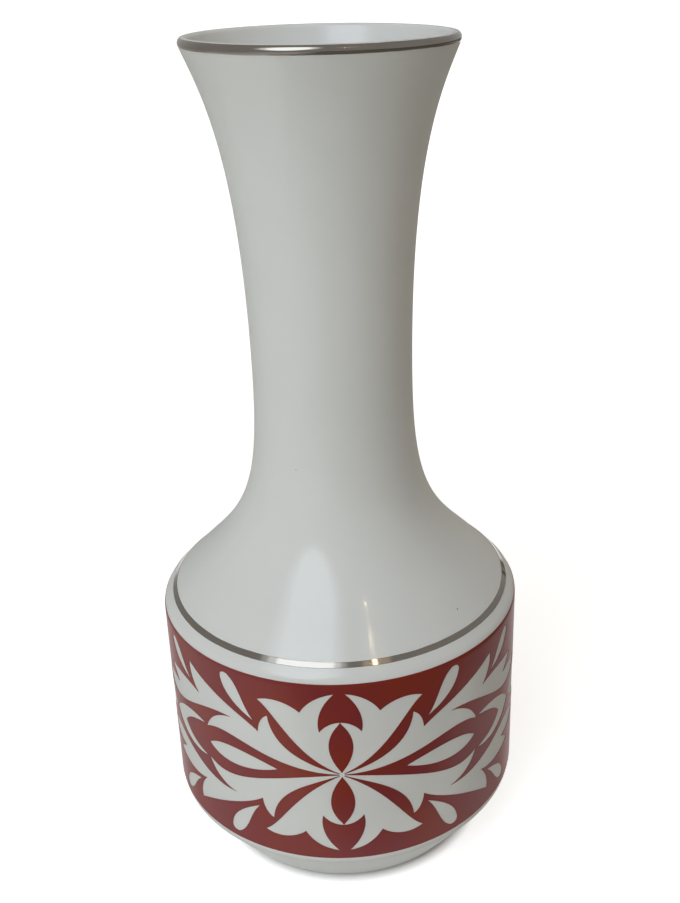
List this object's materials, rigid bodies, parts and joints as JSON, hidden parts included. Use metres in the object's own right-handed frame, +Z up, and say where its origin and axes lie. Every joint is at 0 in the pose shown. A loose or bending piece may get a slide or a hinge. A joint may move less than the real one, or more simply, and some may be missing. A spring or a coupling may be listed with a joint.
{
  "type": "porcelain bottle vase",
  "caption": "Porcelain bottle vase with a drum-shaped body, an undercut foot, a sloped shoulder, a long neck and a flared mouth, and a red printed leaf band edged with platinum lines.",
  "frame": {"origin": "centre of the foot, on the surface that the vase stands on", "axes": "+Z up along the axis of the vase; the front, with the middle of a leaf ornament, faces -Y"},
  "size_m": [0.1092, 0.1092, 0.2435],
  "materials": {
    "bare_porcelain": "matt unglazed biscuit",
    "white_glaze": "satin white glaze",
    "red_print": "satin oxide-red print",
    "platinum": "burnished metal line, slightly worn"
  },
  "bodies": {
    "root": {"porcelain_body": "bare_porcelain", "glaze_coat": "white_glaze", "base_glaze": "white_glaze", "printed_band": "red_print", "rim_band": "platinum", "shoulder_line": "platinum"}
  },
  "joints": []
}
